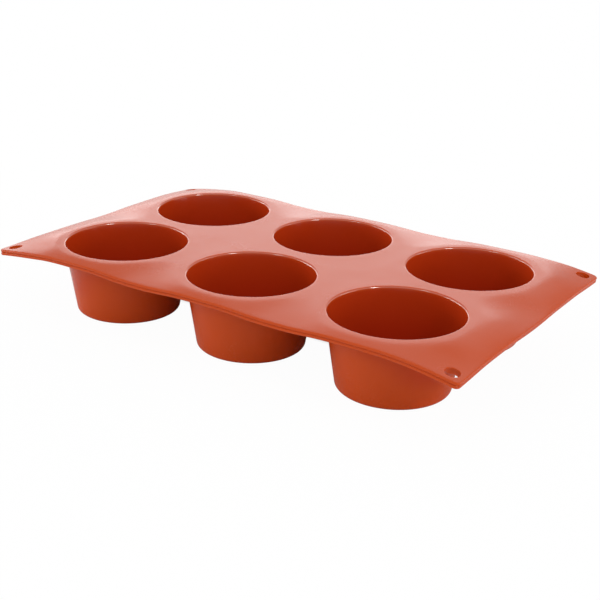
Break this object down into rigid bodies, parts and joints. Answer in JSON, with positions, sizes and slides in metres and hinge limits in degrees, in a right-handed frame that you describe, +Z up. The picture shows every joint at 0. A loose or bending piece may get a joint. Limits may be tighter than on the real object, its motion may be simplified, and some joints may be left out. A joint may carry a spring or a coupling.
{
  "type": "flexible baking mould",
  "caption": "Flexible silicone baking mould: a flat sheet with round tapered muffin cups in two rows, and a hole at each corner.",
  "frame": {"origin": "on the table, under the middle of the mould", "axes": "+X along the length, +Y towards the back row, +Z up out of the cups"},
  "size_m": [0.3, 0.175, 0.0412],
  "materials": {
    "silicone": "satin terracotta-red moulded silicone"
  },
  "bodies": {
    "root": {"sheet": "silicone", "cup_front_left": "silicone", "cup_front_middle": "silicone", "cup_front_right": "silicone", "cup_back_left": "silicone", "cup_back_middle": "silicone", "cup_back_right": "silicone"}
  },
  "joints": []
}
